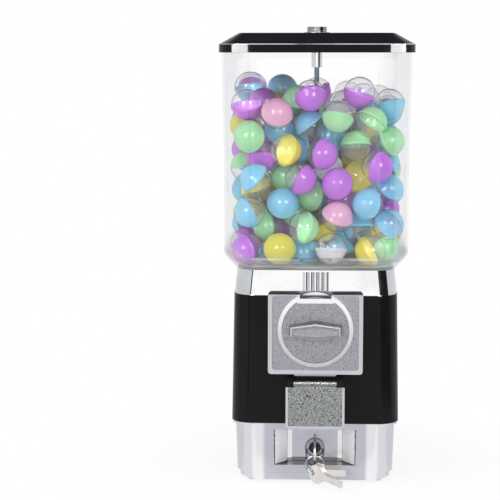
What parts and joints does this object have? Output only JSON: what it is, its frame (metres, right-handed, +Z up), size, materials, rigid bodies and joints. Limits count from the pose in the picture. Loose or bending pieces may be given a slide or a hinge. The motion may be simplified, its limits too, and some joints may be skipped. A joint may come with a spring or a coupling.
{
  "type": "capsule vending machine",
  "caption": "Table-top vending machine: clear square canister of toy capsules on a black body with coin knob, capsule door and a chrome base with locking cash drawer.",
  "frame": {"origin": "on the floor under the middle of the whole bounding box; the centre rod stands 7.7 mm behind it, because the knob and keys reach further forward", "axes": "+Z up along the centre rod, -Y towards the front with the coin knob, +X to the right seen from the front"},
  "size_m": [0.193, 0.2084, 0.457],
  "materials": {
    "chrome_base": "bright chrome plating on plastic",
    "chrome_collar": "bright chrome plating on plastic",
    "black_gloss": "black gloss ABS",
    "black_trim": "black moulded plastic",
    "clear_canister": "clear polycarbonate",
    "zinc_cast": "chromed zinc casting, mottled in the recesses",
    "zinc_hammered": "hammered zinc with a bright rim",
    "lock_chrome": "polished chrome",
    "lock_black": "black lock cap",
    "key_nickel": "nickel-plated key",
    "steel": "zinc-plated steel",
    "sheet_steel": "galvanised sheet steel",
    "brass": "turned brass",
    "white_plastic": "white moulded plastic",
    "rubber": "black rubber",
    "capsule_pink": "opaque pastel plastic",
    "capsule_clear": "clear thin plastic",
    "capsule_mixed": "pastel and clear capsule plastic"
  },
  "bodies": {
    "machine": {"base_housing": "chrome_base", "lock_strike": "sheet_steel", "bottom_plate": "sheet_steel", "chassis_screws": "steel", "rubber_feet": "rubber", "drawer_channel": "sheet_steel", "body_shell": "black_gloss", "collar": "chrome_collar", "canister": "clear_canister", "center_rod": "steel", "rod_nuts": "steel", "wheel_housing": "white_plastic", "housing_screws": "steel", "drop_guard": "white_plastic", "capsule_heap": "capsule_mixed", "mech_faceplate": "zinc_cast", "mech_nuts": "steel", "mech_housing": "steel", "mech_screws": "steel", "shaft_bush": "brass", "pawl_pivot": "steel", "capsule_chute": "black_trim", "coin_chute": "sheet_steel", "door_frame": "black_trim", "door_hinge_pin": "steel"},
    "lid": {"lid": "black_gloss", "lid_lock_barrel": "lock_chrome", "lid_lock_nut": "steel"},
    "lid_lock": {"lid_lock_plug": "lock_black", "lid_lock_sleeve": "steel"},
    "knob": {"knob": "zinc_cast", "knob_shaft": "steel", "ratchet_wheel": "steel", "drive_pinion": "brass", "pinion_screw": "steel"},
    "wheel": {"dispensing_wheel": "white_plastic", "wheel_bush": "brass", "crown_gear": "black_trim", "capsule_caps": "capsule_pink", "capsule_cups": "capsule_clear"},
    "pawl": {"pawl": "steel"},
    "door": {"capsule_door": "zinc_hammered"},
    "drawer": {"drawer_front": "chrome_base", "drawer_box": "black_trim", "drawer_lock_barrel": "lock_chrome", "drawer_lock_nut": "steel"},
    "drawer_lock": {"drawer_lock_plug": "lock_chrome", "lock_cam": "steel", "cam_screw": "steel", "lock_key": "key_nickel"},
    "keys": {"key_ring": "key_nickel", "spare_key": "key_nickel", "second_key": "key_nickel"}
  },
  "joints": [
    {"name": "lid_lift", "type": "slide", "parent": "machine", "child": "lid", "axis": [0, 0, 1], "range_m": [0, 0.06]},
    {"name": "lid_lock_turn", "type": "hinge", "parent": "lid", "child": "lid_lock", "pos_m": [0, 0.00765, 0.45], "axis": [0, 0, 1], "continuous": true},
    {"name": "knob_turn", "type": "hinge", "parent": "machine", "child": "knob", "pos_m": [0, -0.07485, 0.1593], "axis": [0, 1, 0], "continuous": true},
    {"name": "wheel_turn", "type": "hinge", "parent": "machine", "child": "wheel", "pos_m": [0, 0.00765, 0.17755], "axis": [0, 0, 1], "continuous": true},
    {"name": "pawl_lift", "type": "hinge", "parent": "machine", "child": "pawl", "pos_m": [-0.01556, -0.07185, 0.17486], "axis": [0, -1, 0], "range_deg": [0, 12], "stiffness_Nm_per_rad": 0.005},
    {"name": "door_swing", "type": "hinge", "parent": "machine", "child": "door", "pos_m": [0, -0.0799, 0.1051], "axis": [-1, 0, 0], "range_deg": [0, 75]},
    {"name": "drawer_slide", "type": "slide", "parent": "machine", "child": "drawer", "axis": [0, -1, 0], "range_m": [0, 0.09]},
    {"name": "drawer_lock_turn", "type": "hinge", "parent": "drawer", "child": "drawer_lock", "pos_m": [0, -0.05435, 0.034], "axis": [0, -1, 0], "range_deg": [0, 90]},
    {"name": "key_swing", "type": "hinge", "parent": "drawer_lock", "child": "keys", "pos_m": [0, -0.07795, 0.0325], "axis": [-1, 0, 0], "range_deg": [0, 75]}
  ],
  "couplings": [
    {"joint": "knob_turn", "follows": "wheel_turn", "ratio": 4}
  ]
}
